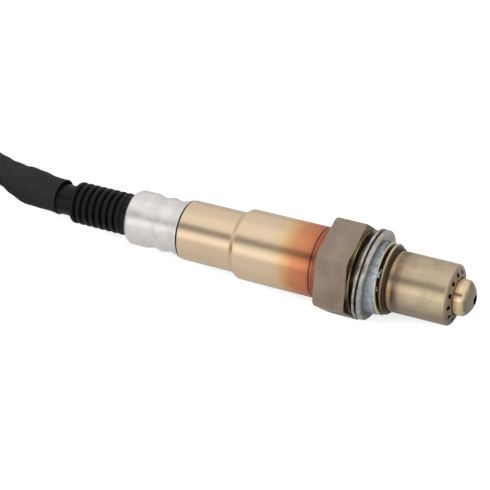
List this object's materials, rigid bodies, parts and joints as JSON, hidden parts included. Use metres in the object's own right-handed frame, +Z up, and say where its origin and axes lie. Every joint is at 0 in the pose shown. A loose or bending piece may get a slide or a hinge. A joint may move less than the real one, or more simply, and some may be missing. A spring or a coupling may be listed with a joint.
{
  "type": "oxygen sensor",
  "caption": "Screw-in exhaust oxygen sensor with hexagon, crush gasket, slotted nose, tinted sleeve, ribbed boot and a sleeved cable coiled to its connector.",
  "frame": {"origin": "centre of the sealing seat, on the axis of the thread", "axes": "+X along the axis from the seat to the nose, +Z up, with one hexagon flat facing down"},
  "size_m": [0.2139, 0.0928, 0.0227],
  "materials": {
    "plated_steel": "warm grey-brown turned steel",
    "bright_steel": "bright rolled steel",
    "nose_steel": "satin drawn steel with a pale gold tint",
    "tinted_steel": "satin drawn steel, gold, copper and purple towards the weld",
    "silver_collar": "satin silver",
    "white_ceramic": "fired ceramic",
    "grey_powder": "pressed mineral powder",
    "black_rubber": "satin black rubber",
    "woven_sleeve": "fine woven glass sleeve, charcoal",
    "lead_covering": "lead insulation",
    "black_plastic": "moulded black plastic",
    "grey_plastic": "moulded grey plastic",
    "tinned_brass": "tinned"
  },
  "bodies": {
    "root": {"cable": "woven_sleeve", "cable_coil": "woven_sleeve", "cable_grommet": "black_rubber", "cable_tail": "woven_sleeve", "coil_tie": "black_plastic", "connector_housing": "black_plastic", "connector_lock": "grey_plastic", "connector_seal": "black_rubber", "connector_terminal_1": "tinned_brass", "connector_terminal_2": "tinned_brass", "connector_terminal_3": "tinned_brass", "connector_terminal_4": "tinned_brass", "contact_clamp_ring": "bright_steel", "contact_holder_left": "white_ceramic", "contact_holder_right": "white_ceramic", "contact_spring_1": "bright_steel", "contact_spring_2": "bright_steel", "contact_spring_3": "bright_steel", "contact_spring_4": "bright_steel", "corrugated_boot": "black_rubber", "crimp_collar": "silver_collar", "front_ceramic_bush": "white_ceramic", "inner_protection_tube": "nose_steel", "lead_wire_1": "lead_covering", "lead_wire_2": "lead_covering", "lead_wire_3": "lead_covering", "lead_wire_4": "lead_covering", "outer_protection_tube": "nose_steel", "powder_seal": "grey_powder", "press_ring": "bright_steel", "protective_shell": "tinted_steel", "rear_ceramic_bush": "white_ceramic", "seal_gasket": "bright_steel", "sensor_element": "white_ceramic", "sensor_housing": "plated_steel"}
  },
  "joints": []
}
